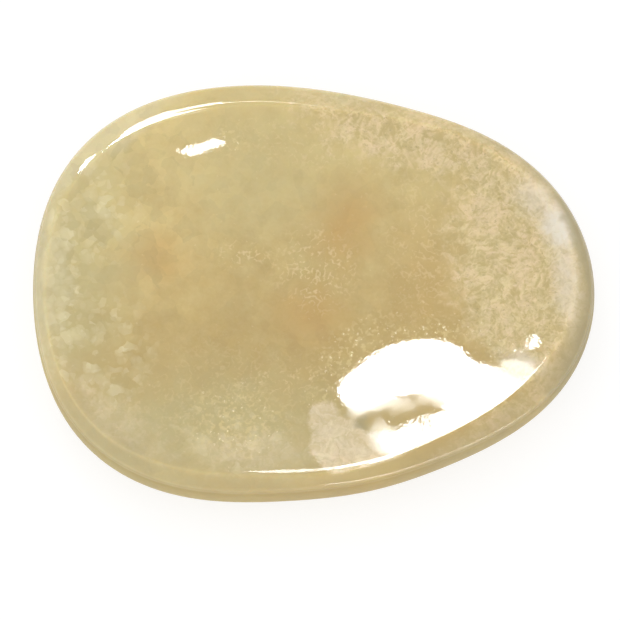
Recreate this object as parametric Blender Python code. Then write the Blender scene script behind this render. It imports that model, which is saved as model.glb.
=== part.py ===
"""A polished calcite worry stone: one solid oval pebble with a shallow thumb dish in its top.

Units are metres. The origin is on the surface that the stone rests on, under the middle of
its footprint. +X runs along the stone to its narrower end and +Z points up, out of the dish.
"""

import math

import bmesh
import bpy
import numpy as np

# Driving dimensions
LENGTH = 0.040
WIDTH = 0.030
THICKNESS = 0.007
DISH_DEPTH = 0.0026
GIRDLE_HEIGHT = 0.0033
RESTING_SHARE = 0.40

# How far the hand-ground outline stands off a true oval, at sixteen equal steps anticlockwise
# from +X. The left end is full and blunt, and the right end is narrower.
OUTLINE_DEPARTURES = (
    -0.0001, -0.0002, -0.0006, -0.0008, -0.0003, 0.0006, 0.0015, 0.0010,
    -0.0001, 0.0009, 0.0016, 0.0006, -0.0003, -0.0007, -0.0008, -0.0002,
)

# The rim's width, from the outline in to the crest of the dish, at the same sixteen steps
RIM_WIDTHS = (
    0.00150, 0.00130, 0.00130, 0.00150, 0.00185, 0.00195, 0.00200, 0.00135,
    0.00095, 0.00105, 0.00130, 0.00150, 0.00130, 0.00130, 0.00170, 0.00200,
)

# The rim slopes down from the crest to the brow, where the side of the stone begins
BROW_INSET = 0.00032
BROW_DROP = 0.00075
BROW_SOFTNESS = 0.00022
CREST_SOFTNESS = 0.00030
SHOULDER_INSET = 0.00013
SHOULDER_DROP = 0.00044

# The dish deepens from its crest as one less the share of the way out, to this power
DISH_POWER = 2.2

# Stations of the dish, as shares of the way from its middle to its crest
DISH_STATIONS = (-0.12, 0.0, 0.12, 0.25, 0.38, 0.5, 0.6, 0.7, 0.78, 0.85, 0.9)

# Stations beside the crest, in steps of its softness inwards from it
CREST_STATIONS = (3.2, 2.0, 1.0)

# Stations of the side from the girdle down: how far outside the outline, and how high
SIDE_STATIONS = (
    (0.00003, GIRDLE_HEIGHT),
    (-0.00009, GIRDLE_HEIGHT - 0.0008),
    (-0.00040, GIRDLE_HEIGHT - 0.0015),
    (-0.00100, GIRDLE_HEIGHT - 0.0021),
    (-0.00190, GIRDLE_HEIGHT - 0.0025),
)

# Stations of the underside: the share of the outline's reach, and how high
UNDERSIDE_STATIONS = ((0.78, 0.00042), (0.66, 0.00018), (0.54, 0.00005))

# Level stations at the flat spot's edge and on both sides of it, as shares of the reach
FLAT_STATIONS = (RESTING_SHARE + 0.05, RESTING_SHARE, RESTING_SHARE - 0.05)

SEGMENTS = 96
SHARP_ANGLE = math.radians(50)

HONEY = (0.60, 0.46, 0.22, 1.0)
POLISH_ROUGHNESS = 0.12
CALCITE_IOR = 1.57


def around(values, angles):
    """The smooth closed curve, a sum of waves, through values at equal steps from +X."""
    waves = np.fft.rfft(values) / len(values)
    total = np.full_like(angles, waves[0].real)
    for count in range(1, len(waves)):
        share = 1.0 if 2 * count == len(values) else 2.0
        total += share * (waves[count] * np.exp(1j * count * angles)).real
    return total


def outline(angles):
    """The reach of the stone's widest line: a true oval and the departures from it."""
    half_length, half_width = LENGTH / 2, WIDTH / 2
    across = np.hypot(half_width * np.cos(angles), half_length * np.sin(angles))
    return half_length * half_width / across + around(OUTLINE_DEPARTURES, angles)


def stations(angles):
    """The reach and height of each station, from the dish's middle over the rim and under.

    Each is an array with a row for each station and a column for each angle.
    """
    edge = outline(angles)
    crest = edge - around(RIM_WIDTHS, angles)
    brow = edge - BROW_INSET
    brow_height = THICKNESS - BROW_DROP

    def dish(reach):
        return THICKNESS - DISH_DEPTH * (1 - (np.abs(reach) / crest) ** DISH_POWER)

    def rim(reach):
        return THICKNESS - BROW_DROP * (reach - crest) / (brow - crest)

    in_dish = [share * crest for share in DISH_STATIONS]
    in_dish += [crest - steps * CREST_SOFTNESS for steps in CREST_STATIONS]
    on_rim = [crest + CREST_SOFTNESS, (crest + brow) / 2, brow - BROW_SOFTNESS, brow]
    found = [(reach, dish(reach)) for reach in in_dish]
    found += [(crest, THICKNESS)]
    found += [(reach, rim(reach)) for reach in on_rim]
    found += [(edge - SHOULDER_INSET, brow_height - SHOULDER_DROP)]
    found += [(edge, (brow_height + GIRDLE_HEIGHT) / 2)]
    found += [(edge + outwards, height) for outwards, height in SIDE_STATIONS]
    found += [(share * edge, height) for share, height in UNDERSIDE_STATIONS]
    found += [(share * edge, 0.0) for share in FLAT_STATIONS]
    reaches = np.array([reach for reach, height in found])
    heights = np.array([height + 0 * edge for reach, height in found])
    return reaches, heights


def eased(rows):
    """Each inner row moved a sixth of the way to both its neighbours, which rounds corners."""
    return (rows[:-2] + 4 * rows[1:-1] + rows[2:]) / 6


def rings(angles):
    """The stone's rings of points, indexed by ring, then angle, then X, Y and Z."""
    reaches, heights = (eased(rows) for rows in stations(angles))
    points = np.stack([reaches * np.cos(angles), reaches * np.sin(angles), heights], axis=-1)
    low, high = points.min(axis=(0, 1)), points.max(axis=(0, 1))
    footprint_middle = np.array([(low[0] + high[0]) / 2, (low[1] + high[1]) / 2, low[2]])
    return (points - footprint_middle) * (LENGTH, WIDTH, THICKNESS) / (high - low)


def add_band(mesh, upper, lower):
    """A band of four-sided faces from one ring of vertices to the next."""
    for here in range(SEGMENTS):
        there = (here + 1) % SEGMENTS
        mesh.faces.new((upper[here], lower[here], lower[there], upper[there]))


def stone_mesh():
    """The closed body: bands from ring to ring, a fan over the dish's middle, a flat beneath."""
    angles = np.linspace(0, math.tau, SEGMENTS, endpoint=False)
    middle, *loops = rings(angles)
    mesh = bmesh.new()
    drawn = [[mesh.verts.new(point) for point in loop] for loop in loops]
    for upper, lower in zip(drawn, drawn[1:]):
        add_band(mesh, upper, lower)
    poked = bmesh.ops.poke(mesh, faces=[mesh.faces.new(drawn[0])])
    poked["verts"][0].co = middle.mean(axis=0)
    mesh.faces.new(reversed(drawn[-1]))
    bmesh.ops.recalc_face_normals(mesh, faces=mesh.faces)
    return mesh


def honey_calcite():
    """Polished honey-coloured calcite."""
    material = bpy.data.materials.new("honey_calcite")
    material.use_nodes = True
    shader = material.node_tree.nodes["Principled BSDF"]
    shader.inputs["Base Color"].default_value = HONEY
    shader.inputs["Roughness"].default_value = POLISH_ROUGHNESS
    shader.inputs["Metallic"].default_value = 0.0
    shader.inputs["IOR"].default_value = CALCITE_IOR
    return material


def add_worry_stone():
    """The stone as one named object."""
    data = bpy.data.meshes.new("worry_stone")
    mesh = stone_mesh()
    mesh.to_mesh(data)
    mesh.free()
    data.shade_smooth()
    data.set_sharp_from_angle(angle=SHARP_ANGLE)
    data.materials.append(honey_calcite())
    stone = bpy.data.objects.new("worry_stone", data)
    bpy.context.scene.collection.objects.link(stone)


for old in list(bpy.data.objects):
    bpy.data.objects.remove(old)
add_worry_stone()
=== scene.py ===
"""Looks of a polished honey calcite worry stone, lying dish up on a pale table.

The stone is one closed surface over a grid of directions round its axis and stations along its
profile. Its finish grows the crystals that show in the polished face: smooth honey calcite in the
middle, pale flakes at the blunt end, frosty plumes at the narrow end, and milky clouds.
Lengths are in metres for shapes and in millimetres for patterns and places on the stone.
"""

import logging
import math
from dataclasses import dataclass, field
from enum import Enum
from typing import Any

import bpy
import numpy as np
from mathutils import Matrix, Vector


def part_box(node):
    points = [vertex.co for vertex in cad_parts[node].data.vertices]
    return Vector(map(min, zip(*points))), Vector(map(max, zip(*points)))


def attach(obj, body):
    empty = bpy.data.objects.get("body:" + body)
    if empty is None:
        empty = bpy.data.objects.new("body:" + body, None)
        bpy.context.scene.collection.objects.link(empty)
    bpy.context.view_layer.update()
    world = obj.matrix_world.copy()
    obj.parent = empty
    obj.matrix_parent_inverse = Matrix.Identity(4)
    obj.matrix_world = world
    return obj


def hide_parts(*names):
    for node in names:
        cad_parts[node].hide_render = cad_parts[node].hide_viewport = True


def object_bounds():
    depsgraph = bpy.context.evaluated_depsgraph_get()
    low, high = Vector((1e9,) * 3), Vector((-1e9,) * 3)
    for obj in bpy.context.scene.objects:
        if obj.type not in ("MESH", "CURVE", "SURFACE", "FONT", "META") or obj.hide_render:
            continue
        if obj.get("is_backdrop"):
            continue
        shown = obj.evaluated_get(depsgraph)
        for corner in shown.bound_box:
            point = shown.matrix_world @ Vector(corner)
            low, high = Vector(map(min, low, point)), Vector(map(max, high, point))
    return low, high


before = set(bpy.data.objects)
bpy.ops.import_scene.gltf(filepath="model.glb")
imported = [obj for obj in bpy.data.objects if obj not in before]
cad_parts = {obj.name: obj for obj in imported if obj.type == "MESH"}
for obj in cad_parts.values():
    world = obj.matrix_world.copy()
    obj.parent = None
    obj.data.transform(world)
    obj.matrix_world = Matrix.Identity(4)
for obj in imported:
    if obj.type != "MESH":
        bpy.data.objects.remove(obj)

LOG = logging.getLogger("worry_stone")
MILLIMETRE = 0.001
NODE = "worry_stone"
BODY = "root"

Triple = tuple[float, float, float]
Colour = tuple[float, float, float, float]


def tint(red: int, green: int, blue: int) -> Colour:
    """A colour given as on screen, from 0 to 255 each, as the linear light that a shader takes.

    The screen's curve is a straight line in the deepest darks and a power above them.

    Args:
        red: The red part.
        green: The green part.
        blue: The blue part.

    Returns:
        Linear red, green and blue, and a full alpha.
    """
    parts = np.array([red, green, blue]) / 255
    linear = np.where(parts <= 0.04045, parts / 12.92, ((parts + 0.055) / 1.055) ** 2.4)
    return (*linear.tolist(), 1.0)


class Share:
    """A number that varies over the surface, so that shader maths reads as Python."""

    def __init__(self, graph: "Graph", socket: bpy.types.NodeSocket) -> None:
        """Wraps one output of a node.

        Args:
            graph: The node tree that the output is in.
            socket: The output.
        """
        self.graph = graph
        self.socket = socket

    def __add__(self, other: Any) -> "Share":
        """This number and another, added."""
        return self.graph.maths("ADD", self, other)

    def __sub__(self, other: Any) -> "Share":
        """This number less another."""
        return self.graph.maths("SUBTRACT", self, other)

    def __rsub__(self, other: Any) -> "Share":
        """Another number less this one."""
        return self.graph.maths("SUBTRACT", other, self)

    def __mul__(self, other: Any) -> "Share":
        """This number times another."""
        return self.graph.maths("MULTIPLY", self, other)

    __radd__ = __add__
    __rmul__ = __mul__

    def most(self, other: Any) -> "Share":
        """The larger of this number and another."""
        return self.graph.maths("MAXIMUM", self, other)

    def size(self) -> "Share":
        """This number without its sign."""
        return self.graph.maths("ABSOLUTE", self)

    def step(self, start: float, end: float) -> "Share":
        """A smooth step from 0 where this number is at start to 1 where it is at end.

        Args:
            start: Where the step begins. It may lie above end, and the step then falls.
            end: Where the step is done.

        Returns:
            The step, from 0 to 1.
        """
        low, high = min(start, end), max(start, end)
        node = self.graph.add(
            "ShaderNodeMapRange",
            {"interpolation_type": "SMOOTHSTEP"},
            {"Value": self, "From Min": low, "From Max": high},
        )
        rising = Share(self.graph, node.outputs["Result"])
        return rising if start < end else 1 - rising

    def picked(self, weight: float, chance: "Share", least: float, soft: float) -> "Share":
        """Where this share of a growth and a chance value together pass a least sum.

        Args:
            weight: How much the share counts.
            chance: The chance value, from 0 to 1.
            least: The sum from which the growth shows.
            soft: How far past that sum it shows in full.

        Returns:
            How much of it shows, from 0 to 1.
        """
        return (self * weight + chance - least).step(0.0, soft)


@dataclass(frozen=True)
class Texture:
    """Smooth noise: its bumps to a millimetre, and its finer layers and how strong they are."""

    per_mm: float
    layers: float
    roughness: float = 0.5


@dataclass(frozen=True)
class Fray:
    """How noise moves places: its bends to a millimetre, and how far they reach."""

    per_mm: float
    reach_mm: float
    layers: float = 1.0
    roughness: float = 0.6


class Graph:
    """The node tree of one material, with the stone's own coordinates in millimetres."""

    def __init__(self, name: str) -> None:
        """Starts an empty material.

        Args:
            name: The material's name.
        """
        self.material = bpy.data.materials.new(name)
        self.material.use_nodes = True
        self.tree = self.material.node_tree
        self.tree.nodes.clear()
        self.output = self.add("ShaderNodeOutputMaterial", {}, {})
        place = self.add("ShaderNodeTexCoord", {}, {}).outputs["Object"]
        self.place = self.vector("SCALE", place, Scale=1 / MILLIMETRE)

    def add(self, kind: str, settings: dict[str, Any], inputs: dict[Any, Any]) -> bpy.types.Node:
        """Adds a node.

        Args:
            kind: The node's type.
            settings: The node's own properties, which are set first.
            inputs: A value, an output or a Share for each input, by name or place.

        Returns:
            The node.
        """
        node = self.tree.nodes.new(kind)
        for name, value in settings.items():
            setattr(node, name, value)
        for name, value in inputs.items():
            source = value.socket if isinstance(value, Share) else value
            if isinstance(source, bpy.types.NodeSocket):
                self.tree.links.new(source, node.inputs[name])
            else:
                node.inputs[name].default_value = source
        return node

    def maths(self, operation: str, *values: Any) -> Share:
        """A Math node on numbers and Shares."""
        node = self.add("ShaderNodeMath", {"operation": operation}, dict(enumerate(values)))
        return Share(self, node.outputs[0])

    def vector(self, operation: str, *values: Any, **named: Any) -> bpy.types.NodeSocket:
        """A Vector Math node, and its vector output."""
        inputs = {**dict(enumerate(values)), **named}
        return self.add("ShaderNodeVectorMath", {"operation": operation}, inputs).outputs["Vector"]

    def length(self, vector: Any) -> Share:
        """The length of a vector."""
        node = self.add("ShaderNodeVectorMath", {"operation": "LENGTH"}, {0: vector})
        return Share(self, node.outputs["Value"])

    def blend(self, share: Any, first: Any, second: Any, how: str = "MIX") -> Any:
        """A Mix node on colours, and its colour.

        Args:
            share: How much of second shows, from 0 to 1.
            first: The colour below.
            second: The colour on top.
            how: The node's blend type.

        Returns:
            The mixed colour's output.
        """
        settings = {"data_type": "RGBA", "blend_type": how}
        return self.add("ShaderNodeMix", settings, {0: share, 6: first, 7: second}).outputs[2]

    def noise(self, at: Any, texture: Texture) -> Share:
        """Smooth noise, about 0.5 in the middle.

        Args:
            at: Where it is read, in millimetres.
            texture: How fine and how rough it is.

        Returns:
            The noise.
        """
        inputs = {
            "Vector": at,
            "Scale": texture.per_mm,
            "Detail": texture.layers,
            "Roughness": texture.roughness,
        }
        node = self.add("ShaderNodeTexNoise", {"noise_dimensions": "3D"}, inputs)
        return Share(self, node.outputs["Fac"])

    def painted(self, name: str) -> Share:
        """A share that the mesh carries."""
        return Share(self, self.add("ShaderNodeAttribute", {"attribute_name": name}, {}).outputs["Fac"])

    def strayed(self, at: Any, fray: Fray) -> bpy.types.NodeSocket:
        """Places that noise has moved, which frays whatever is read there.

        Args:
            at: The places, in millimetres.
            fray: How they are moved.

        Returns:
            The moved places' output.
        """
        inputs = {
            "Vector": at,
            "Scale": fray.per_mm,
            "Detail": fray.layers,
            "Roughness": fray.roughness,
        }
        node = self.add("ShaderNodeTexNoise", {"noise_dimensions": "3D"}, inputs)
        off = self.vector("SUBTRACT", node.outputs["Color"], (0.5, 0.5, 0.5))
        return self.vector("ADD", at, self.vector("SCALE", off, Scale=2 * fray.reach_mm))

    def parts(self, vector: Any) -> tuple[Share, Share, Share]:
        """A vector's or a colour's three parts."""
        node = self.add("ShaderNodeSeparateXYZ", {}, {0: vector})
        return tuple(Share(self, output) for output in node.outputs)

    def grains(self, at: Any, per_mm: float) -> "Grains":
        """Crystal grains, one round each point of a jittered grid.

        Args:
            at: Where they are read, in millimetres.
            per_mm: How many grains there are to a millimetre.

        Returns:
            The grains.
        """
        settings = {"voronoi_dimensions": "3D", "feature": "F1"}
        node = self.add("ShaderNodeTexVoronoi", settings, {"Vector": at, "Scale": per_mm})
        chance, second, _ = self.parts(node.outputs["Color"])
        offset = self.vector("SUBTRACT", at, node.outputs["Position"])
        return Grains(Share(self, node.outputs["Distance"]), chance, second, offset)


@dataclass(frozen=True)
class Grains:
    """Crystal grains: how far from a grain's middle, in grains, and two chance values of it.

    The offset from its middle is a vector in millimetres.
    """

    away: Share
    chance: Share
    second: Share
    offset: bpy.types.NodeSocket

    def turned(self) -> tuple[Share, Share]:
        """The offset's two level parts, turned by a chance angle for each grain.

        Returns:
            The part along the grain and the part across it.
        """
        graph = self.away.graph
        inputs = {"Vector": self.offset, "Angle": self.chance * math.tau}
        node = graph.add("ShaderNodeVectorRotate", {"rotation_type": "Z_AXIS"}, inputs)
        along, across, _ = graph.parts(node.outputs["Vector"])
        return along, across

    def streaks(self, along_mm: float, across_mm: float) -> Share:
        """Streaks that run one way in each grain, like needles in a sheaf.

        Args:
            along_mm: How many streaks there are to a millimetre, end to end.
            across_mm: How many there are to a millimetre, side by side.

        Returns:
            Noise, about 0.5 in the middle.
        """
        graph = self.away.graph
        along, across = self.turned()
        apart = self.second * 90.0
        inputs = {"X": along * along_mm, "Y": across * across_mm, "Z": apart}
        place = graph.add("ShaderNodeCombineXYZ", {}, inputs).outputs["Vector"]
        return graph.noise(place, Texture(per_mm=1.0, layers=1.0))


class Growth(Enum):
    """What the calcite does in a part of the stone, and where painted light or shade lies on it."""

    AMBER = "warm iron-stained patches"
    SAGE = "cool greenish calcite"
    FLAKES = "pale rounded flakes"
    FACETS = "large plain crystals, each a little lighter or darker"
    PLUMES = "frosty needle crystals"
    CURLS = "thin curled fibres"
    MILK = "milky calcite"
    HAZE = "bluish white haze"
    # Pale grey calcite. On the upper-left rim it is partly a painted reflection of the sky.
    PALE_AND_REFLECTION = "pale grey calcite"
    # Deeper olive calcite in one spot. Along the rims this bed is painted shade.
    SHADE = "deeper olive calcite"
    # Painted shade: the rim grows darker from crest to brow, on the sides away from the lamps.
    RIM_SHADE = "thin calcite towards the brow, which lets light out"
    # Bright inclusions, and painted glints near the highlights.
    SPARKS_AND_GLINTS = "bright inclusions"
    DULL = "softer calcite, which took a duller polish"


@dataclass(frozen=True)
class Cloud:
    """A soft-edged oval part of the stone, in which one growth shows.

    It reaches from face to face, like a bed of the rock that the stone was cut from. Its place
    and reach are in millimetres, and its turn is in degrees, anticlockwise from above.
    """

    growth: Growth
    place: tuple[float, float]
    reach: tuple[float, float]
    turn: float = 0.0
    softness: float = 0.5
    strength: float = 1.0
    depth: float = 40.0

    def mask(self, graph: Graph, at: Any) -> Share:
        """The cloud's share, from its strength in the middle to 0 outside.

        Args:
            graph: The node tree.
            at: Where it is read, in millimetres.

        Returns:
            The share.
        """
        inputs = {
            "Vector": at,
            "Location": (*self.place, 0.0),
            "Rotation": (0.0, 0.0, math.radians(self.turn)),
            "Scale": (*self.reach, self.depth),
        }
        node = graph.add("ShaderNodeMapping", {"vector_type": "TEXTURE"}, inputs)
        inside = graph.length(node.outputs["Vector"])
        return inside.step(1 + self.softness, 1 - self.softness) * self.strength


CLOUDS = (
    Cloud(Growth.AMBER, (-11.5, 2.2), (1.8, 1.5), softness=0.9, strength=0.7),
    Cloud(Growth.AMBER, (2.3, 4.8), (1.8, 2.6), turn=-15, softness=0.9, strength=0.9),
    Cloud(Growth.AMBER, (-0.2, -1.6), (2.0, 1.8), softness=0.9, strength=0.8),
    Cloud(Growth.AMBER, (8.3, 1.2), (2.6, 4.2), softness=0.9, strength=0.4),
    Cloud(Growth.AMBER, (-4.0, -15.6), (17.0, 2.0), turn=-3, softness=0.3),
    Cloud(Growth.SAGE, (-18.5, 3.0), (5.5, 12.0), softness=0.6, strength=0.9),
    Cloud(Growth.SAGE, (-8.0, -11.5), (13.0, 5.5), softness=0.6, strength=0.9),
    Cloud(Growth.SAGE, (-4.5, 8.0), (4.0, 3.5), softness=0.9, strength=0.4),
    Cloud(Growth.FLAKES, (-20.2, 0.8), (3.6, 8.5), softness=0.9),
    Cloud(Growth.FLAKES, (-15.5, 5.5), (3.0, 5.5), turn=-15, softness=0.8, strength=0.45),
    Cloud(Growth.FLAKES, (-15.0, -4.5), (3.4, 6.0), turn=20, softness=0.8, strength=0.45),
    Cloud(Growth.FLAKES, (-5.5, -10.8), (5.5, 2.6), softness=0.8, strength=0.4),
    Cloud(Growth.FACETS, (-12.5, 6.0), (5.5, 7.5), softness=0.7),
    Cloud(Growth.PLUMES, (17.0, 2.0), (7.4, 12.0), turn=10),
    Cloud(Growth.PLUMES, (7.6, 12.0), (11.0, 3.9), turn=-15, softness=0.6, strength=0.9),
    Cloud(Growth.PLUMES, (-5.0, -11.4), (4.5, 2.6), softness=0.8, strength=0.42),
    Cloud(Growth.PLUMES, (-13.5, -9.5), (5.0, 2.6), turn=-35, softness=0.8, strength=0.4),
    Cloud(Growth.PLUMES, (13.0, -10.2), (6.5, 1.6), turn=36, softness=0.6, strength=0.85),
    Cloud(Growth.CURLS, (-4.8, 2.7), (2.0, 0.9), softness=0.6),
    Cloud(Growth.CURLS, (0.2, 1.6), (2.6, 2.6), softness=0.6),
    Cloud(Growth.CURLS, (8.0, 3.0), (2.4, 6.0), softness=0.8, strength=0.6),
    Cloud(Growth.CURLS, (3.0, 10.8), (8.0, 2.0), softness=0.7, strength=0.6),
    Cloud(Growth.CURLS, (-6.0, -8.5), (6.0, 4.5), softness=0.7, strength=0.4),
    Cloud(Growth.CURLS, (-2.5, -6.6), (5.5, 0.9), turn=5, softness=0.7, strength=0.7),
    Cloud(Growth.MILK, (-4.0, -12.0), (3.4, 1.3), softness=0.8, strength=0.4),
    Cloud(Growth.MILK, (1.8, -11.4), (2.1, 2.2), softness=0.1, strength=0.95),
    Cloud(Growth.MILK, (0.7, -9.4), (1.1, 1.3), turn=-20, softness=0.2, strength=0.9),
    Cloud(Growth.MILK, (4.3, -11.7), (3.0, 1.3), turn=12, softness=0.15, strength=0.95),
    Cloud(Growth.MILK, (-14.5, -9.8), (5.0, 1.8), turn=-38, softness=0.9, strength=0.3),
    Cloud(Growth.HAZE, (17.5, 4.2), (1.1, 1.7), turn=20, softness=0.8, strength=1.2),
    Cloud(Growth.HAZE, (17.9, 0.4), (0.9, 3.4), turn=5, softness=0.8, strength=0.55),
    Cloud(Growth.HAZE, (15.8, 6.3), (1.6, 1.1), turn=-40, softness=0.8, strength=0.6),
    Cloud(Growth.HAZE, (14.6, -5.5), (1.5, 0.6), turn=-25, softness=0.8, strength=0.5),
    # Along the upper-left rim the pale bed is partly a painted reflection of the sky.
    Cloud(Growth.PALE_AND_REFLECTION, (-14.5, 11.2), (8.5, 1.3), turn=42, strength=0.7),
    Cloud(Growth.PALE_AND_REFLECTION, (-19.4, 0.5), (2.0, 9.0), softness=0.6, strength=0.35),
    Cloud(Growth.PALE_AND_REFLECTION, (2.0, 15.0), (10.0, 1.3), turn=-8, softness=0.6, strength=0.5),
    # Painted shade along the lower-left, right and left rims, then one deeper olive spot.
    Cloud(Growth.SHADE, (-15.4, -10.8), (6.0, 1.3), turn=-38, softness=0.6, strength=0.35),
    Cloud(Growth.SHADE, (18.9, 3.8), (0.8, 5.4), turn=22, softness=0.6, strength=0.75),
    Cloud(Growth.SHADE, (-20.6, 1.0), (1.6, 11.0), strength=0.4),
    Cloud(Growth.SHADE, (3.4, -9.8), (0.45, 0.5), softness=0.6, strength=0.7),
    # Painted shade on the rims away from the lamps, darker towards the brow.
    Cloud(Growth.RIM_SHADE, (21.0, -2.0), (6.0, 11.0), turn=4, softness=0.35, strength=1.1),
    Cloud(Growth.RIM_SHADE, (16.2, 9.2), (6.5, 2.4), turn=-44, strength=0.6),
    Cloud(Growth.RIM_SHADE, (11.5, -12.5), (7.5, 2.4), turn=34, strength=0.6),
    Cloud(Growth.RIM_SHADE, (-4.0, -15.6), (17.0, 2.0), turn=-3, softness=0.3, strength=0.25),
    # Bright inclusions, and painted glints along the highlights' edges.
    Cloud(Growth.SPARKS_AND_GLINTS, (-5.5, -9.8), (3.2, 2.4), softness=0.7),
    Cloud(Growth.SPARKS_AND_GLINTS, (0.5, -8.2), (1.2, 1.4), softness=0.7),
    Cloud(Growth.SPARKS_AND_GLINTS, (3.4, -4.4), (3.6, 2.0), turn=40, softness=0.7),
    Cloud(Growth.SPARKS_AND_GLINTS, (8.5, -3.0), (4.0, 1.0), softness=0.7),
    Cloud(Growth.SPARKS_AND_GLINTS, (13.2, -4.6), (1.2, 1.0), softness=0.7, strength=0.8),
    Cloud(Growth.SPARKS_AND_GLINTS, (-6.3, 10.6), (1.2, 0.9), softness=0.7),
    Cloud(Growth.DULL, (14.5, -6.3), (1.7, 0.8), turn=-30),
    Cloud(Growth.DULL, (9.5, -8.2), (2.2, 0.6), turn=-5, softness=0.7, strength=0.7),
    Cloud(Growth.DULL, (5.0, -8.6), (3.2, 0.6), turn=8, softness=0.7, strength=0.6),
    Cloud(Growth.DULL, (4.6, -10.8), (0.9, 1.2), softness=0.7, strength=0.5),
)


@dataclass(frozen=True)
class Fabric:
    """What the growths share: the calcite's mottling and grains, its crystals and its rim.

    Frost is how much frosty growth shows, and crystal is how far its needles stand out of
    the gaps between them.
    """

    graph: Graph
    share: dict[Growth, Share]
    mottle: Share
    patches: Share
    fine: Share
    small: Grains
    dots: Grains
    rim: Share
    frost: Share
    crystal: Share

    def tinted(self, growth: Growth, below: Any, colour: Any) -> Any:
        """A colour with a growth's own colour over it, as much as the growth shows."""
        return self.graph.blend(self.share[growth], below, colour)

    def stained(self, growth: Growth, below: Any, colour: Any) -> Any:
        """A colour with a growth's stain over it, stronger where the stone is mottled light."""
        return self.graph.blend(self.share[growth] * (self.mottle + 0.3), below, colour)


@dataclass(frozen=True)
class HoneyCalcite:
    """The stone's finish: a glassy polish over milky, flaked and feathered calcite."""

    honey: Colour = tint(216, 198, 139)
    honey_deep: Colour = tint(197, 171, 108)
    amber: Colour = tint(203, 167, 98)
    sage: Colour = tint(201, 189, 138)
    flake: Colour = tint(226, 215, 171)
    plume: Colour = tint(232, 211, 168)
    plume_cool: Colour = tint(228, 211, 162)
    plume_gap: Colour = tint(201, 181, 125)
    fibre: Colour = tint(236, 217, 168)
    milk: Colour = tint(239, 223, 190)
    haze: Colour = tint(236, 228, 212)
    # The colour of bright inclusions and of painted glints.
    spark_and_glint: Colour = tint(255, 243, 200)
    golden: Colour = tint(230, 213, 156)
    speck: Colour = tint(184, 164, 116)
    shade: Colour = tint(180, 168, 128)
    # The colour of the painted shade on the outer rim.
    edge: Colour = tint(173, 160, 120)
    # Pale calcite, and on the upper-left rim partly a painted reflection of the sky.
    pale: Colour = tint(219, 208, 166)
    # Painted shade: the side is darker than the top, as if in shade.
    painted_side_shade: Colour = (0.75, 0.67, 0.34, 1.0)

    fraying: Fray = Fray(1.8, 0.22)
    drifting: Fray = Fray(0.6, 0.9)
    feathering: Fray = Fray(5.0, 0.16)
    swaying: Fray = Fray(0.8, 0.4)
    curling: Fray = Fray(3.0, 0.14)
    crumbling: Fray = Fray(2.0, 0.2)
    splintering: Fray = Fray(6.0, 0.14)

    mottling: Texture = Texture(0.45, 4.0, 0.75)
    patching: Texture = Texture(1.1, 3.0, 0.65)
    fineness: Texture = Texture(4.5, 2.0, 0.6)
    fibres: Texture = Texture(2.3, 0.0)
    grit: Texture = Texture(3.0, 1.0)
    swell: Texture = Texture(5.0, 0.0)

    large_per_mm: float = 0.55
    small_per_mm: float = 1.15
    dots_per_mm: float = 2.3
    flecks_per_mm: float = 3.2
    pits_per_mm: float = 3.0

    polish: float = 0.03
    side_polish: float = 0.5
    dull_polish: float = 0.2
    index: float = 1.65
    depth_mm: float = 1.0
    depth_by_colour: Triple = (1.0, 0.75, 0.45)
    pit_depth: float = 0.000006
    swell_share: float = 0.22
    clouds: tuple[Cloud, ...] = CLOUDS

    def growths(self, graph: Graph, frayed: Any) -> dict[Growth, Share]:
        """Each growth's share of the stone, the largest of its clouds' shares.

        The clouds drift and fray, and the edges of milk and haze are finely feathered.

        Args:
            graph: The node tree.
            frayed: The frayed places' output.

        Returns:
            The share of each growth.
        """
        drifted = graph.strayed(frayed, self.drifting)
        feathered = graph.strayed(graph.strayed(graph.place, self.feathering), self.swaying)
        found: dict[Growth, Share] = {}
        for cloud in self.clouds:
            fine = cloud.growth in (Growth.MILK, Growth.HAZE)
            mask = cloud.mask(graph, feathered if fine else drifted)
            found[cloud.growth] = found[cloud.growth].most(mask) if cloud.growth in found else mask
        return found

    def fabric(self, graph: Graph, frayed: Any, share: dict[Growth, Share]) -> Fabric:
        """What several growths are made of.

        Needles run one way in each grain, and every grain and patch lifts or sinks its own
        needles a little, so that the frost looks like sheaves.

        Args:
            graph: The node tree.
            frayed: The frayed places' output.
            share: The share of each growth.

        Returns:
            The calcite's fabric.
        """
        rim = graph.painted("rim")
        mottle = graph.noise(graph.place, self.mottling)
        patches = graph.noise(frayed, self.patching)
        small = graph.grains(frayed, self.small_per_mm)
        dots = graph.grains(frayed, self.dots_per_mm)
        frost = share[Growth.PLUMES].picked(1.2, patches, 0.85, 0.7) * (1 - rim * 0.4)
        needles = small.streaks(0.5, 3.4) + dots.streaks(0.9, 5.0) * 0.5
        sheaves = small.chance * 0.16 + dots.second * 0.16
        crystal = (needles + sheaves + patches * 0.5 + mottle * 0.9 - 1.6).step(-0.36, 0.36)
        return Fabric(
            graph=graph,
            share=share,
            mottle=mottle,
            patches=patches,
            fine=graph.noise(graph.place, self.fineness),
            small=small,
            dots=dots,
            rim=rim,
            frost=frost,
            crystal=crystal,
        )

    def ground(self, fabric: Fabric, northing: Share) -> Any:
        """Plain honey calcite with painted light that makes it lighter towards +Y, and its amber and sage
        stains.

        Args:
            fabric: The calcite's fabric.
            northing: How far towards +Y a place is, in millimetres.

        Returns:
            The colour's output.
        """
        # Painted light: the colour grows lighter towards +Y, the side the lamps stand on. The mottle is
        # the calcite's own.
        light = (northing * 0.03 + fabric.mottle * 0.9).step(0.15, 0.95)
        colour = fabric.graph.blend(light, self.honey_deep, self.honey)
        colour = fabric.stained(Growth.AMBER, colour, self.amber)
        return fabric.stained(Growth.SAGE, colour, self.sage)

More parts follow.
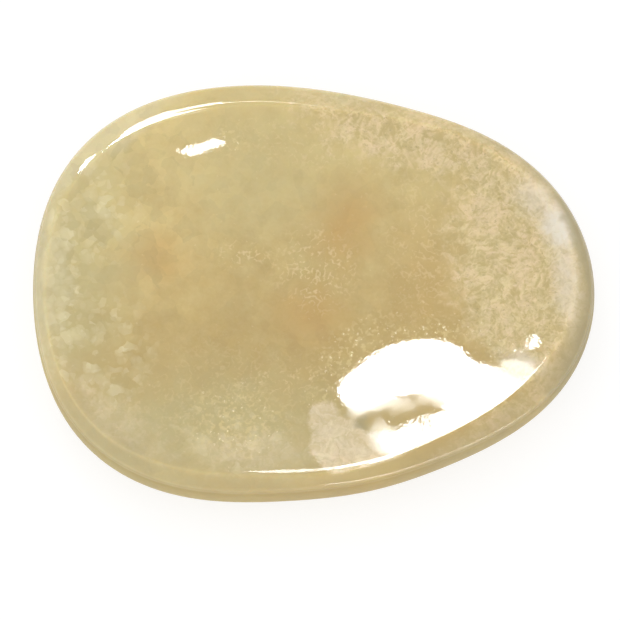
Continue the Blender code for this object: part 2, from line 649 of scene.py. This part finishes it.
    def flaked(self, fabric: Fabric, colour: Any) -> Any:
        """Pale flakes of two sizes over a colour, each fading from its middle outwards.

        Args:
            fabric: The calcite's fabric.
            colour: The colour below.

        Returns:
            The colour's output.
        """
        share, small, dots = fabric.share[Growth.FLAKES], fabric.small, fabric.dots
        rounds = share.picked(1.4, small.chance, 1.0, 0.8) * (small.away.step(0.9, 0.3) * 0.6 + 0.15)
        chips = share.picked(1.2, dots.second, 1.0, 0.6) * (dots.away.step(0.95, 0.35) * 0.3 + 0.1)
        return fabric.graph.blend((rounds + chips) * (1 - fabric.rim * 0.6), colour, self.flake)

    def frosted(self, fabric: Fabric, colour: Any) -> Any:
        """Frosty needle crystals over a colour, with dark specks between them.

        Args:
            fabric: The calcite's fabric.
            colour: The colour below.

        Returns:
            The colour's output.
        """
        graph = fabric.graph
        plume = graph.blend(fabric.mottle.step(0.4, 0.6), self.plume_cool, self.plume)
        needles = graph.blend(fabric.crystal, self.plume_gap, plume)
        colour = graph.blend(fabric.frost, colour, needles)
        specks = fabric.fine.step(0.38, 0.28) * fabric.frost
        return graph.blend(specks * 0.6, colour, self.speck)

    def curled(self, fabric: Fabric, colour: Any) -> Any:
        """Thin curled fibres over a colour, each with a painted shadow beside it: the contour lines of
        bent noise, in tufts.

        Args:
            fabric: The calcite's fabric.
            colour: The colour below.

        Returns:
            The colour's output.
        """
        graph = fabric.graph
        bend = graph.noise(graph.strayed(graph.place, self.curling), self.fibres)
        tufts = (fabric.patches + fabric.fine * 0.7 - 0.35).step(0.44, 0.58)
        lit = (bend - 0.5).size().step(0.12, 0.01) * tufts
        # Painted shadow: a dim line beside each bright fibre, so that the fibres look raised.
        painted_fibre_shadow = (bend - 0.61).size().step(0.08, 0.0) * tufts
        shown = (fabric.frost * 0.4).most(fabric.share[Growth.CURLS] * 0.55)
        colour = graph.blend(painted_fibre_shadow * shown * 0.5, colour, self.honey_deep)
        return graph.blend(lit * shown, colour, self.fibre)

    def clouded(self, fabric: Fabric, northing: Share, colour: Any) -> Any:
        """Milk, haze, pale and shade beds over a colour, and painted shade that darkens the rim towards
        the brow. The pale bed is partly a painted reflection of the sky on the upper-left rim, and the
        shade bed is a deeper olive spot and painted shade along the rims.

        The front rim is cut below the milk, so no milk shows in it.

        Args:
            fabric: The calcite's fabric.
            northing: How far towards +Y a place is, in millimetres.
            colour: The colour below.

        Returns:
            The colour's output.
        """
        graph, share = fabric.graph, fabric.share
        clear_rim = 1 - fabric.rim * northing.step(2.0, -2.0)
        milky = share[Growth.MILK] * clear_rim * (fabric.crystal * 0.55 + 0.5)
        colour = graph.blend(milky, colour, self.milk)
        colour = graph.blend(share[Growth.HAZE] * (fabric.crystal * 0.3 + 0.7), colour, self.haze)
        # Pale beds, partly a painted reflection of the sky on the upper-left rim.
        colour = fabric.tinted(Growth.PALE_AND_REFLECTION, colour, self.pale)
        # The shade bed: painted shade along the rims, and one deeper olive spot.
        colour = fabric.tinted(Growth.SHADE, colour, self.shade)
        # Painted shade: the rim darkens from crest to brow.
        return graph.blend(share[Growth.RIM_SHADE] * graph.painted("edge"), colour, self.edge)

    def sparkling(self, fabric: Fabric, colour: Any) -> Any:
        """Golden crumbs and fine bright spots over a colour: inclusions, and painted glints near the
        highlights. Few of them lie outside these clouds.

        Args:
            fabric: The calcite's fabric.
            colour: The colour below.

        Returns:
            The colour's output.
        """
        graph, sparks_and_glints = fabric.graph, fabric.share[Growth.SPARKS_AND_GLINTS]
        grit = graph.noise(graph.strayed(graph.place, self.crumbling), self.grit)
        # Painted glints and inclusions: golden crumbs and bright spots.
        crumbs = grit.step(0.52, 0.66) * sparks_and_glints * (1 - fabric.share[Growth.MILK])
        colour = graph.blend(crumbs * 0.5, colour, self.golden)
        flecks = graph.grains(graph.strayed(graph.place, self.splintering), self.flecks_per_mm)
        spots = flecks.away.step(0.3, 0.15) * (flecks.chance + sparks_and_glints * 0.4).step(0.93, 1.0)
        return graph.blend(spots * (crumbs * 0.5 + sparks_and_glints * 0.4 + 0.15), colour, self.spark_and_glint)

    def base(self, graph: Graph, share: dict[Growth, Share], frayed: Any) -> Any:
        """The colour all over the stone.

        Args:
            graph: The node tree.
            share: The share of each growth.
            frayed: The frayed places' output.

        Returns:
            The colour's output.
        """
        fabric = self.fabric(graph, frayed, share)
        _, northing, _ = graph.parts(graph.place)
        colour = self.ground(fabric, northing)
        for layer in (self.flaked, self.frosted, self.curled):
            colour = layer(fabric, colour)
        colour = self.clouded(fabric, northing, colour)
        colour = self.sparkling(fabric, colour)
        large = graph.grains(frayed, self.large_per_mm)
        lift = large.second * 0.05 + fabric.small.second * 0.04
        shading = fabric.fine * 0.05 + lift * (share[Growth.FACETS] * 1.5 + 1.0) + 0.91
        colour = graph.blend(1.0, colour, shading, "MULTIPLY")
        # Painted shade down the side.
        return graph.blend(graph.painted("side"), colour, self.painted_side_shade, "MULTIPLY")

    def uneven(self, graph: Graph) -> bpy.types.NodeSocket:
        """The normal of the faintly uneven polish, with a pit here and there.

        Args:
            graph: The node tree.

        Returns:
            The normal's output.
        """
        pits = graph.grains(graph.place, self.pits_per_mm)
        sunk = pits.away.step(0.35, 0.05) * pits.second.step(0.95, 1.1)
        height = graph.noise(graph.place, self.swell) * self.swell_share - sunk
        inputs = {"Height": height, "Strength": 1.0, "Distance": self.pit_depth}
        return graph.add("ShaderNodeBump", {}, inputs).outputs["Normal"]

    def polished(self, graph: Graph, dull: Share) -> Share:
        """The roughness: glassy on the dish and rim, duller in places, and satin down the side."""
        satin = graph.painted("side") * (self.side_polish - self.polish)
        return satin + dull * self.dull_polish + self.polish

    def build(self) -> bpy.types.Material:
        """Builds the material.

        Returns:
            The material.
        """
        graph = Graph("honey_calcite")
        frayed = graph.strayed(graph.place, self.fraying)
        share = self.growths(graph, frayed)
        shader = graph.add(
            "ShaderNodeBsdfPrincipled",
            {"subsurface_method": "RANDOM_WALK"},
            {
                "Base Color": self.base(graph, share, frayed),
                "Roughness": self.polished(graph, share[Growth.DULL]),
                "IOR": self.index,
                "Normal": self.uneven(graph),
                "Subsurface Weight": 1.0,
                "Subsurface Radius": self.depth_by_colour,
                "Subsurface Scale": self.depth_mm * MILLIMETRE,
            },
        )
        graph.tree.links.new(shader.outputs["BSDF"], graph.output.inputs["Surface"])
        return graph.material


@dataclass(frozen=True)
class Waves:
    """The faint unevenness that hand polishing leaves: low waves that run every way."""

    seed: int = 374
    count: int = 10
    shortest: float = 0.004
    longest: float = 0.009
    steepness: float = 0.002

    def heights(self, x: np.ndarray, y: np.ndarray) -> np.ndarray:
        """The waves' height at each place, as a sum of sine waves of chance length and bearing.

        Args:
            x: The places' X, in metres.
            y: The places' Y, in metres.

        Returns:
            The heights, in metres.
        """
        chance = np.random.default_rng(self.seed)
        lengths = np.exp(chance.uniform(math.log(self.shortest), math.log(self.longest), self.count))
        bearings, starts = chance.uniform(0, math.tau, (2, self.count))
        along = x[..., None] * np.cos(bearings) + y[..., None] * np.sin(bearings)
        high = self.steepness * lengths / math.sqrt(self.count)
        return (high * np.sin(math.tau * along / lengths + starts)).sum(axis=-1)


@dataclass
class WorryStone:
    """The polished stone: an oval pebble with a shallow thumb dish ground into its top.

    Values round the outline are given at equal steps, anticlockwise from +X.
    """

    low: Triple
    high: Triple
    dish_depth: float = 0.0026
    girdle_height: float = 0.0033
    brow_inset: float = 0.00032
    brow_drop: float = 0.00075
    brow_softness: float = 0.00022
    shoulder_inset: float = 0.00013
    shoulder_drop: float = 0.00044
    dish_power: float = 2.2
    directions: int = 480
    rows_per_station: int = 6
    departures: tuple[float, ...] = (
        -0.0001, -0.0002, -0.0006, -0.0008, -0.0003, 0.0006, 0.0015, 0.0010,
        -0.0001, 0.0009, 0.0016, 0.0006, -0.0003, -0.0007, -0.0008, -0.0002,
    )
    rim_widths: tuple[float, ...] = (
        0.00150, 0.00130, 0.00130, 0.00150, 0.00185, 0.00195, 0.00200, 0.00135,
        0.00095, 0.00105, 0.00130, 0.00138, 0.00112, 0.00130, 0.00170, 0.00200,
    )
    crest_softness: tuple[float, ...] = (
        0.00045, 0.00035, 0.00028, 0.00021, 0.00030, 0.00025, 0.00035, 0.00020,
    )
    rim_softness: tuple[float, ...] = (
        0.00045, 0.00035, 0.00035, 0.00110, 0.00028, 0.00025, 0.00030, 0.00020,
    )
    crest_lift: tuple[float, ...] = (0.0, 0.0, 0.0, 0.0, 0.0, 0.0, 0.00003, 0.00002)
    waves: Waves = field(default_factory=Waves)
    dish_shares: tuple[float, ...] = (-0.12, 0.0, 0.12, 0.25, 0.38, 0.5, 0.6, 0.7, 0.78, 0.86, 0.94)
    crest_steps: tuple[float, ...] = (3.2, 2.0, 1.0)
    rim_steps: int = 4
    side_drops: tuple[tuple[float, float], ...] = (
        (0.00003, 0.0), (-0.00009, 0.0008), (-0.00040, 0.0015), (-0.00100, 0.0021), (-0.00190, 0.0025),
    )
    underside: tuple[tuple[float, float], ...] = ((0.78, 0.00042), (0.66, 0.00018), (0.54, 0.00005))
    flat_shares: tuple[float, ...] = (0.45, 0.40, 0.35, 0.2, 0.0, -0.2)
    finish: HoneyCalcite = field(default_factory=HoneyCalcite)

    @property
    def size(self) -> np.ndarray:
        """The stone's length, width and thickness, from the frame."""
        return np.array(self.high) - np.array(self.low)

    @staticmethod
    def around(values: tuple[float, ...], angles: np.ndarray) -> np.ndarray:
        """The smooth closed curve through values at equal steps from +X, as a sum of waves.

        Args:
            values: The values, anticlockwise.
            angles: Where the curve is wanted, in radians.

        Returns:
            The curve's value at each angle.
        """
        waves = np.fft.rfft(values) / len(values)
        shares = np.full(len(waves), 2.0)
        shares[0] = 1.0
        shares[-1] = 1.0 if len(values) % 2 == 0 else 2.0
        turns = np.exp(1j * np.outer(np.arange(len(waves)), angles))
        return ((shares * waves) @ turns).real

    def outline(self, angles: np.ndarray) -> np.ndarray:
        """The reach of the widest line: a true oval and the hand-ground departures from it.

        Args:
            angles: The directions, in radians.

        Returns:
            The reach in each direction, in metres.
        """
        half_length, half_width, _ = self.size / 2
        across = np.hypot(half_width * np.cos(angles), half_length * np.sin(angles))
        return half_length * half_width / across + self.around(self.departures, angles)

    def stations(self, angles: np.ndarray) -> tuple[np.ndarray, np.ndarray]:
        """The reach and height of each control station, over the rim and under the stone.

        In the dish the height falls from the crest's by dish_depth times one less the share
        of the way out to dish_power. The rim slopes evenly from crest to brow.

        Args:
            angles: The directions, in radians.

        Returns:
            Two arrays, with a row for each station and a column for each direction.
        """
        edge = self.outline(angles)
        top = self.size[2]
        crest = edge - self.around(self.rim_widths, angles)
        brow = edge - self.brow_inset
        brow_height = top - self.brow_drop
        soft = self.around(self.crest_softness, angles)
        outer = self.around(self.rim_softness, angles)

        def dish(reach: np.ndarray) -> np.ndarray:
            """The dish's height at a reach."""
            return top - self.dish_depth * (1 - (np.abs(reach) / crest) ** self.dish_power)

        def rim(reach: np.ndarray) -> np.ndarray:
            """The rim's height at a reach."""
            return top - self.brow_drop * (reach - crest) / (brow - crest)

        inner = crest - self.crest_steps[0] * soft
        in_dish = [share * inner for share in self.dish_shares]
        in_dish += [crest - steps * soft for steps in self.crest_steps]
        rounded = brow - self.brow_softness
        on_rim = [crest + outer, (crest + outer + rounded) / 2, rounded, brow]
        found = [(reach, dish(reach)) for reach in in_dish]
        found += [(crest, top + self.around(self.crest_lift, angles))]
        found += [(reach, rim(reach)) for reach in on_rim]
        found += [(edge - self.shoulder_inset, brow_height - self.shoulder_drop)]
        found += [(edge, (brow_height + self.girdle_height) / 2)]
        found += [(edge + out, self.girdle_height - drop) for out, drop in self.side_drops]
        found += [(share * edge, height) for share, height in self.underside]
        found += [(share * edge, 0.0) for share in self.flat_shares]
        reaches = np.array([reach for reach, _ in found])
        heights = np.array([height + 0 * edge for _, height in found])
        return reaches, heights

    def spline(self, count: int) -> tuple[np.ndarray, np.ndarray]:
        """A uniform cubic B-spline through the stations' neighbourhood.

        Args:
            count: How many control stations it has.

        Returns:
            The weights of all stations at each point along it, a row for each point, and
            the station, counted from 0 and with parts of one, that each point is next to.
        """
        along = np.linspace(0, count - 3, (count - 3) * self.rows_per_station + 1)
        first = np.minimum(along.astype(int), count - 4)
        t = along - first
        parts = np.stack([(1 - t) ** 3, 3 * t**3 - 6 * t**2 + 4, -3 * t**3 + 3 * t**2 + 3 * t + 1, t**3])
        weights = np.zeros((len(along), count))
        rows = np.arange(len(along))
        for step, part in enumerate(parts):
            weights[rows, first + step] += part / 6
        return weights, along + 1

    def points(self) -> np.ndarray:
        """The surface's grid of points, from the dish's middle to the underside's middle.

        Each point is the B-spline of the stations of its direction, turned round the axis.
        The whole grid is then moved and stretched a little to fill the frame's box.

        Returns:
            The points, by row, then direction, then X, Y and Z.
        """
        angles = np.linspace(0, math.tau, self.directions, endpoint=False)
        reaches, heights = self.stations(angles)
        weights, _ = self.spline(len(reaches))
        reach, height = weights @ reaches, weights @ heights
        x, y = reach * np.cos(angles), reach * np.sin(angles)
        grid = np.stack([x, y, height + self.waves.heights(x, y) * height / self.size[2]], axis=-1)
        least, most = grid.min(axis=(0, 1)), grid.max(axis=(0, 1))
        return np.array(self.low) + (grid - least) * self.size / (most - least)

    def faces(self, rows: int) -> list[list[int]]:
        """The corners of every face: bands from row to row, and a fan at each end.

        Args:
            rows: How many rows of points there are between the two end points.

        Returns:
            The point numbers of each face.
        """
        columns = self.directions
        index = 1 + np.arange(rows * columns).reshape(rows, columns)
        ahead = np.roll(index, -1, axis=1)
        quads = np.stack([index[:-1], index[1:], ahead[1:], ahead[:-1]], axis=-1).reshape(-1, 4)
        middle = np.zeros(columns, int)
        upper = np.stack([middle, index[0], ahead[0]], axis=-1)
        lower = np.stack([ahead[-1], index[-1], middle + 1 + rows * columns], axis=-1)
        return quads.tolist() + upper.tolist() + lower.tolist()

    def shares(self, rows: int) -> dict[str, np.ndarray]:
        """How far each row is on the rim, from the crest to the brow, and on the side.

        Args:
            rows: How many rows of points there are, with both ends.

        Returns:
            By name, a share for each row: 0 up to a station, and 1 from some stations later on.
        """
        count = (rows - 1) // self.rows_per_station + 3
        crest = len(self.dish_shares) + len(self.crest_steps)
        near = self.spline(count)[1]
        return {
            "rim": np.clip(near - crest, 0, 1),
            "edge": np.clip((near - crest) / self.rim_steps, 0, 1),
            "side": np.clip(near - crest - self.rim_steps, 0, 1),
        }

    def mesh(self) -> bpy.types.Mesh:
        """The closed mesh, with the shares that the finish reads as attributes.

        Returns:
            The mesh.
        """
        grid = self.points()
        inner = grid[1:-1]
        ends = [[rows.mean(axis=0)] for rows in (grid[0], grid[-1])]
        corners = np.concatenate([ends[0], inner.reshape(-1, 3), ends[1]])
        mesh = bpy.data.meshes.new("polished_stone")
        mesh.from_pydata(corners.tolist(), [], self.faces(len(inner)))
        for name, share in self.shares(len(grid)).items():
            along = np.repeat(share[1:-1], self.directions)
            values = np.concatenate([[0.0], along, [1.0]]).astype(np.float32)
            mesh.attributes.new(name, "FLOAT", "POINT").data.foreach_set("value", values)
        mesh.shade_smooth()
        mesh.update()
        return mesh

    def build(self) -> bpy.types.Object:
        """Builds the stone in place of its plain solid.

        Returns:
            The stone's object.
        """
        stone = bpy.data.objects.new("polished_stone", self.mesh())
        stone.data.materials.append(self.finish.build())
        bpy.context.scene.collection.objects.link(stone)
        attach(stone, BODY)
        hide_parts(NODE)
        LOG.info("polished_stone: %d faces", len(stone.data.polygons))
        return stone


class Mouth(Enum):
    """The shape of a lamp's glowing face."""

    SQUARE = "RECTANGLE"
    ROUND = "ELLIPSE"


@dataclass(frozen=True)
class Softbox:
    """A flat lamp that faces the stone, and makes highlights while the sky lights it.

    Its direction from the stone is given by how far it leans from straight up and by its
    bearing, anticlockwise from +X, and its size by the angles that it spans at the stone.
    All angles are in degrees.
    """

    name: str
    lean: float
    bearing: float
    spans: tuple[float, float]
    radiance: float
    distance: float = 0.6
    turn: float = 0.0
    shape: Mouth = Mouth.SQUARE

    def axes(self) -> Matrix:
        """The lamp's own axes: sideways, up its face, and away from the stone.

        Returns:
            The axes, as the columns of a matrix.
        """
        lean, bearing = math.radians(self.lean), math.radians(self.bearing)
        sideways = np.array([-math.sin(bearing), math.cos(bearing), 0.0])
        level = math.sin(lean)
        away = np.array([level * math.cos(bearing), level * math.sin(bearing), math.cos(lean)])
        columns = [sideways, np.cross(away, sideways), away]
        return Matrix(np.stack(columns, axis=1).tolist())

    def build(self, target: Triple) -> bpy.types.Object:
        """Builds the lamp.

        Args:
            target: The point that it faces.

        Returns:
            The lamp's object.
        """
        axes = self.axes()
        width, height = (2 * self.distance * math.tan(math.radians(span) / 2) for span in self.spans)
        data = bpy.data.lights.new(self.name, "AREA")
        data.shape = self.shape.value
        data.size, data.size_y = width, height
        data.energy = self.radiance * math.pi * width * height
        lamp = bpy.data.objects.new(self.name, data)
        lamp.location = np.array(target) + self.distance * np.array(axes.col[2])
        lamp.rotation_euler = (axes @ Matrix.Rotation(math.radians(self.turn), 3, "Z")).to_euler()
        lamp.visible_diffuse = False
        bpy.context.scene.collection.objects.link(lamp)
        LOG.info("%s: %.3f by %.3f m", self.name, width, height)
        return lamp


@dataclass(frozen=True)
class Studio:
    """The pale table, the soft lamps and the camera that looks down on the stone."""

    target_mm: Triple = (-0.2645, -1.056, 3.0)
    elevation: float = 78.0
    distance: float = 0.245
    sensor: float = 36.0
    nearest: float = 0.01
    pixels: int = 620
    pixels_per_mm: float = 13.97
    floor_reach: float = 2.0
    floor_light: float = 0.7
    floor_shade: float = 0.35
    floor_roughness: float = 0.9
    sky: float = 1.0
    sky_lean: Triple = (-0.05, -0.05, 0.0)
    lamps: tuple[Softbox, ...] = (
        Softbox("window_lamp", 36.9, 110.1, (8.3, 19.1), 17.0, turn=33.3, shape=Mouth.ROUND),
        Softbox("low_window_lamp", 33.3, 108.0, (9.9, 13.5), 17.0, shape=Mouth.ROUND),
        Softbox("middle_window_lamp", 47.7, 113.7, (5.4, 12.2), 17.0, turn=50.0, shape=Mouth.ROUND),
        Softbox("high_window_lamp", 54.6, 111.0, (9.8, 17.0), 17.0),
        Softbox("glint_lamp", 35.6, 125.8, (0.6, 3.6), 24.0, turn=-35.8, shape=Mouth.ROUND),
        Softbox("crest_lamp", 59.7, 129.4, (7.0, 23.0), 17.0, turn=8.4, shape=Mouth.ROUND),
        Softbox("front_lamp", 19.5, -68.4, (1.8, 6.0), 21.0, turn=-62.5),
        Softbox("back_strip", 56.1, 93.1, (22.0, 2.5), 10.0),
        Softbox("back_lamp", 58.6, 100.8, (8.0, 6.0), 12.0),
        Softbox("low_front_strip", 84.0, -62.0, (40.0, 4.0), 14.0),
    )

    def target(self) -> Triple:
        """The point that the camera and lamps face, in metres."""
        return tuple(part * MILLIMETRE for part in self.target_mm)

    def floor(self) -> bpy.types.Object:
        """The pale, faintly glowing table top, far larger than the stone.

        Returns:
            The table top's object.
        """
        reach = self.floor_reach
        corners = [(-reach, -reach, 0.0), (reach, -reach, 0.0), (reach, reach, 0.0), (-reach, reach, 0.0)]
        mesh = bpy.data.meshes.new("table_top")
        mesh.from_pydata(corners, [], [(0, 1, 2, 3)])
        material = bpy.data.materials.new("pale_table")
        material.use_nodes = True
        shader = material.node_tree.nodes["Principled BSDF"]
        shader.inputs["Base Color"].default_value = (*(self.floor_shade,) * 3, 1.0)
        shader.inputs["Roughness"].default_value = self.floor_roughness
        shader.inputs["Emission Color"].default_value = (1.0, 1.0, 1.0, 1.0)
        shader.inputs["Emission Strength"].default_value = self.floor_light
        mesh.materials.append(material)
        floor = bpy.data.objects.new("table_top", mesh)
        bpy.context.scene.collection.objects.link(floor)
        floor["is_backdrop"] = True
        LOG.info("table_top: %.1f m across", 2 * reach)
        return floor

    def camera(self) -> bpy.types.Object:
        """The camera, placed so that the stone fills the photograph's frame.

        Returns:
            The camera's object.
        """
        data = bpy.data.cameras.new("camera")
        data.sensor_width = self.sensor
        data.lens = self.distance / MILLIMETRE * self.pixels_per_mm / self.pixels * self.sensor
        data.clip_start = self.nearest
        rise = math.radians(self.elevation)
        away = np.array([0.0, -math.cos(rise), math.sin(rise)])
        camera = bpy.data.objects.new("camera", data)
        camera.location = np.array(self.target()) + self.distance * away
        camera.rotation_euler = (math.pi / 2 - rise, 0.0, 0.0)
        bpy.context.scene.collection.objects.link(camera)
        bpy.context.scene.camera = camera
        return camera

    def world(self) -> None:
        """A white sky, brighter on the viewer's side, and plain colours in the picture."""
        world = bpy.data.worlds.new("studio")
        world.use_nodes = True
        nodes, links = world.node_tree.nodes, world.node_tree.links
        background = nodes["Background"]
        background.inputs["Color"].default_value = (1.0, 1.0, 1.0, 1.0)
        lean = nodes.new("ShaderNodeVectorMath")
        lean.operation = "DOT_PRODUCT"
        lean.inputs[1].default_value = self.sky_lean
        links.new(nodes.new("ShaderNodeTexCoord").outputs["Generated"], lean.inputs[0])
        light = nodes.new("ShaderNodeMath")
        light.inputs[1].default_value = self.sky
        links.new(lean.outputs["Value"], light.inputs[0])
        links.new(light.outputs[0], background.inputs["Strength"])
        bpy.context.scene.world = world
        bpy.context.scene.view_settings.view_transform = "Standard"

    def build(self) -> None:
        """Builds the table, the sky, the camera and the lamps."""
        self.floor()
        self.world()
        self.camera()
        for lamp in self.lamps:
            lamp.build(self.target())


def corners() -> list[list[float]]:
    """The whole object's lowest and highest corners, as plain lists."""
    return [[float(part) for part in corner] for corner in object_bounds()]


def main() -> None:
    """Builds the stone and the studio."""
    logging.basicConfig(level=logging.INFO)
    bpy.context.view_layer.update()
    low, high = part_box(NODE)
    WorryStone(tuple(low), tuple(high)).build()
    Studio().build()


if __name__ == "__main__":
    main()
